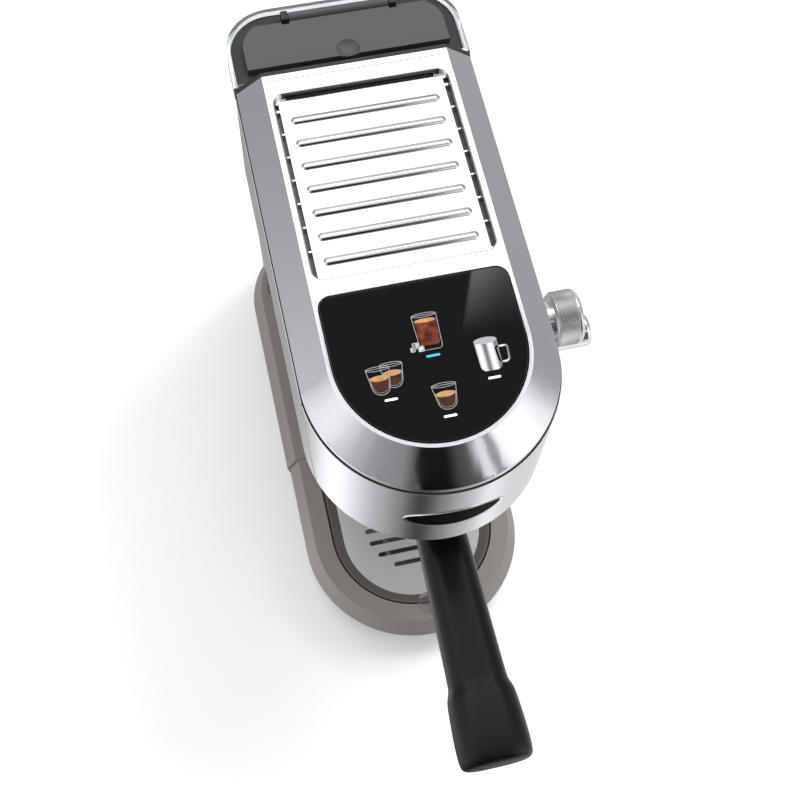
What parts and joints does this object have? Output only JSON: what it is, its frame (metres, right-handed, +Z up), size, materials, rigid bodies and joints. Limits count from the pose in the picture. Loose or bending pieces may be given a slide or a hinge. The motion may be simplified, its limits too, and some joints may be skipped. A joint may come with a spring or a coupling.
{
  "type": "espresso machine",
  "caption": "Slim pump espresso machine with a cup-warmer top, touch display, bayonet portafilter, steam wand, drip tray and lift-out water tank.",
  "frame": {"origin": "point on the table straight below the axis of the brew group, where a cup stands", "axes": "+X to the machine's right as its user sees it, +Y to the back, +Z up"},
  "size_m": [0.1835, 0.4454, 0.3032],
  "materials": {
    "polished_steel": "bright polished sheet",
    "satin_steel": "fine brushed satin",
    "taupe_plastic": "satin painted plastic, warm grey",
    "black_plastic": "fine grained moulding",
    "black_soft_touch": "satin black",
    "black_glass": "high gloss black glass",
    "circuit_board": "solder resist",
    "badge_plate": "dark inlay in a bright rim",
    "black_rubber": "matte",
    "silicone": "translucent white",
    "chrome_plate": "mirror chrome",
    "stainless": "bright pressed sheet",
    "brass_valve": "turned brass",
    "cast_aluminium": "die-cast",
    "red_plastic": "gloss red",
    "smoke_clear_plastic": "clear, slightly smoked",
    "grey_plastic": "satin dark grey"
  },
  "bodies": {
    "housing": {"base_housing": "taupe_plastic", "rubber_feet": "black_rubber", "column_shell": "taupe_plastic", "rear_panel": "taupe_plastic", "head_side_panels": "satin_steel", "head_backplate": "black_plastic", "front_cowl": "polished_steel", "top_bezel": "polished_steel", "cup_plate": "polished_steel", "display_glass": "black_glass", "touch_board": "circuit_board", "badge_strip": "badge_plate", "head_frame": "black_plastic", "head_floor": "black_plastic", "floor_screws": "stainless", "thermoblock": "cast_aluminium", "group_collar": "chrome_plate", "shower_screen": "stainless", "screen_screw": "stainless", "group_gasket": "black_rubber", "brew_valve": "black_plastic", "pump": "black_plastic", "pump_mounts": "black_rubber", "control_board": "circuit_board", "suction_hose": "silicone", "pressure_hose": "silicone", "steam_pipe": "stainless", "steam_valve": "brass_valve", "wand_socket": "chrome_plate", "tank_seat": "black_plastic", "cord_inlet": "black_plastic", "switch_frame": "black_plastic"},
    "rocker": {"power_rocker": "black_plastic"},
    "portafilter": {"portafilter_ring": "chrome_plate", "filter_basket": "stainless", "basket_spring": "stainless", "twin_spout": "chrome_plate", "handle_ferrule": "chrome_plate", "handle_grip": "black_soft_touch", "handle_cap": "black_soft_touch"},
    "tray": {"drip_tray": "taupe_plastic"},
    "grid": {"grid_frame": "taupe_plastic", "drip_grid": "satin_steel"},
    "float": {"level_float": "red_plastic"},
    "tank": {"water_tank": "smoke_clear_plastic", "tank_collar": "black_plastic", "tank_valve": "black_plastic"},
    "lid": {"tank_lid": "grey_plastic"},
    "knob": {"knob_spindle": "chrome_plate", "steam_knob": "satin_steel", "knob_cap": "chrome_plate"},
    "wand": {"wand_barrel": "chrome_plate", "wand_tube": "chrome_plate", "wand_grip": "black_soft_touch", "steam_tip": "chrome_plate"}
  },
  "joints": [
    {"name": "portafilter_lock", "type": "hinge", "parent": "housing", "child": "portafilter", "pos_m": [0, 0, 0.19], "axis": [0, 0, 1], "range_deg": [-45, 0]},
    {"name": "tray_slide", "type": "slide", "parent": "housing", "child": "tray", "axis": [0, -1, 0], "range_m": [0, 0.14]},
    {"name": "grid_lift", "type": "slide", "parent": "tray", "child": "grid", "axis": [0, 0, 1], "range_m": [0, 0.06]},
    {"name": "float_rise", "type": "slide", "parent": "tray", "child": "float", "axis": [0, 0, 1], "range_m": [0, 0.006]},
    {"name": "tank_lift", "type": "slide", "parent": "housing", "child": "tank", "axis": [0, 0, 1], "range_m": [0, 0.2]},
    {"name": "lid_hinge", "type": "hinge", "parent": "tank", "child": "lid", "pos_m": [0, 0.237, 0.2923], "axis": [1, 0, 0], "range_deg": [-100, 0]},
    {"name": "knob_turn", "type": "hinge", "parent": "housing", "child": "knob", "pos_m": [0.08, 0.0305, 0.254], "axis": [1, 0, 0], "range_deg": [0, 200]},
    {"name": "wand_swing", "type": "hinge", "parent": "housing", "child": "wand", "pos_m": [0.095, 0.034, 0.225], "axis": [1, 0, 0], "range_deg": [-60, 10]},
    {"name": "rocker_turn", "type": "hinge", "parent": "housing", "child": "rocker", "pos_m": [0.0595, 0.16, 0.066], "axis": [0, 1, 0], "range_deg": [-8, 0]}
  ]
}
